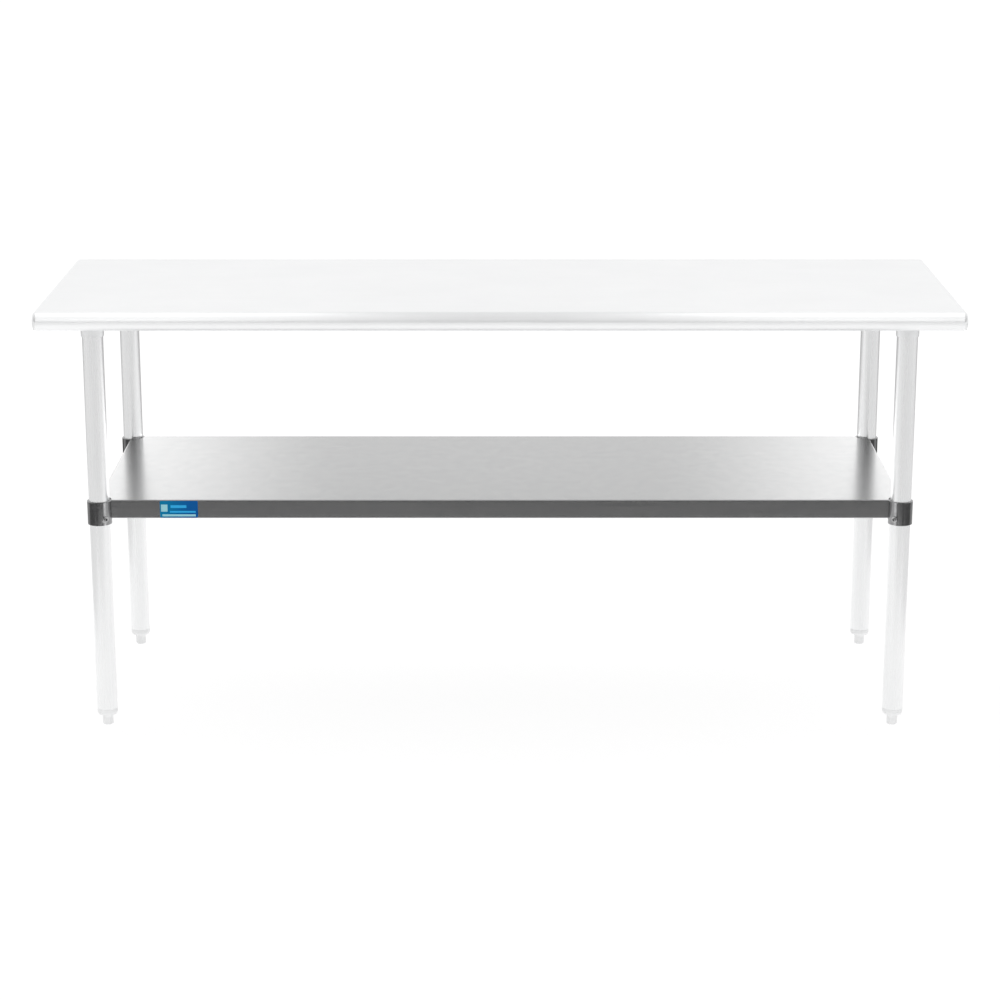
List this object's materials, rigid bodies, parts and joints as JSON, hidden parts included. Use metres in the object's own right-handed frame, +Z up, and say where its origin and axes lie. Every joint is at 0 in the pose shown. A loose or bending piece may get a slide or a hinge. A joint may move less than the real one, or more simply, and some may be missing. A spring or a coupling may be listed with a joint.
{
  "type": "stainless work table",
  "caption": "Commercial kitchen work table with a rolled-edge stainless top, tubular legs, a height-adjustable galvanised undershelf and screw-out feet.",
  "frame": {"origin": "on the floor under the middle of the table, with the feet screwed right in", "axes": "+X along the table's length, -Y is the front, +Z is up"},
  "size_m": [1.829, 0.61, 0.864],
  "materials": {
    "worktop_steel": "satin brushed along the length",
    "channel_galvanised": "galvanised",
    "socket_steel": "satin",
    "leg_steel": "satin polished round the tube",
    "insert_plastic": "moulded",
    "foot_plastic": "moulded",
    "stem_steel": "zinc plated thread",
    "shelf_galvanised": "galvanised, fine grain along the length",
    "sleeve_cast": "die cast, satin",
    "screw_steel": "zinc plated",
    "label_vinyl": "blank vinyl sticker"
  },
  "bodies": {
    "table_frame": {"worktop": "worktop_steel", "end_channel_left": "channel_galvanised", "end_channel_right": "channel_galvanised", "centre_channel": "channel_galvanised", "socket_set_screws": "screw_steel", "leg_socket_front_left": "socket_steel", "leg_socket_front_right": "socket_steel", "leg_socket_rear_left": "socket_steel", "leg_socket_rear_right": "socket_steel", "leg_front_left": "leg_steel", "leg_front_right": "leg_steel", "leg_rear_left": "leg_steel", "leg_rear_right": "leg_steel", "leg_insert_front_left": "insert_plastic", "leg_insert_front_right": "insert_plastic", "leg_insert_rear_left": "insert_plastic", "leg_insert_rear_right": "insert_plastic"},
    "undershelf": {"undershelf": "shelf_galvanised", "shelf_channel": "channel_galvanised", "shelf_set_screws": "screw_steel", "shelf_label": "label_vinyl", "shelf_sleeve_front_left": "sleeve_cast", "shelf_sleeve_front_right": "sleeve_cast", "shelf_sleeve_rear_left": "sleeve_cast", "shelf_sleeve_rear_right": "sleeve_cast"},
    "foot_front_left": {"foot_front_left": "foot_plastic", "foot_stem_front_left": "stem_steel"},
    "foot_front_right": {"foot_front_right": "foot_plastic", "foot_stem_front_right": "stem_steel"},
    "foot_rear_left": {"foot_rear_left": "foot_plastic", "foot_stem_rear_left": "stem_steel"},
    "foot_rear_right": {"foot_rear_right": "foot_plastic", "foot_stem_rear_right": "stem_steel"}
  },
  "joints": [
    {"name": "shelf_slide", "type": "slide", "parent": "table_frame", "child": "undershelf", "axis": [0, 0, 1], "range_m": [-0.3, 0.28]},
    {"name": "foot_front_left_screw", "type": "slide", "parent": "table_frame", "child": "foot_front_left", "axis": [0, 0, -1], "range_m": [0, 0.025]},
    {"name": "foot_front_right_screw", "type": "slide", "parent": "table_frame", "child": "foot_front_right", "axis": [0, 0, -1], "range_m": [0, 0.025]},
    {"name": "foot_rear_left_screw", "type": "slide", "parent": "table_frame", "child": "foot_rear_left", "axis": [0, 0, -1], "range_m": [0, 0.025]},
    {"name": "foot_rear_right_screw", "type": "slide", "parent": "table_frame", "child": "foot_rear_right", "axis": [0, 0, -1], "range_m": [0, 0.025]}
  ]
}
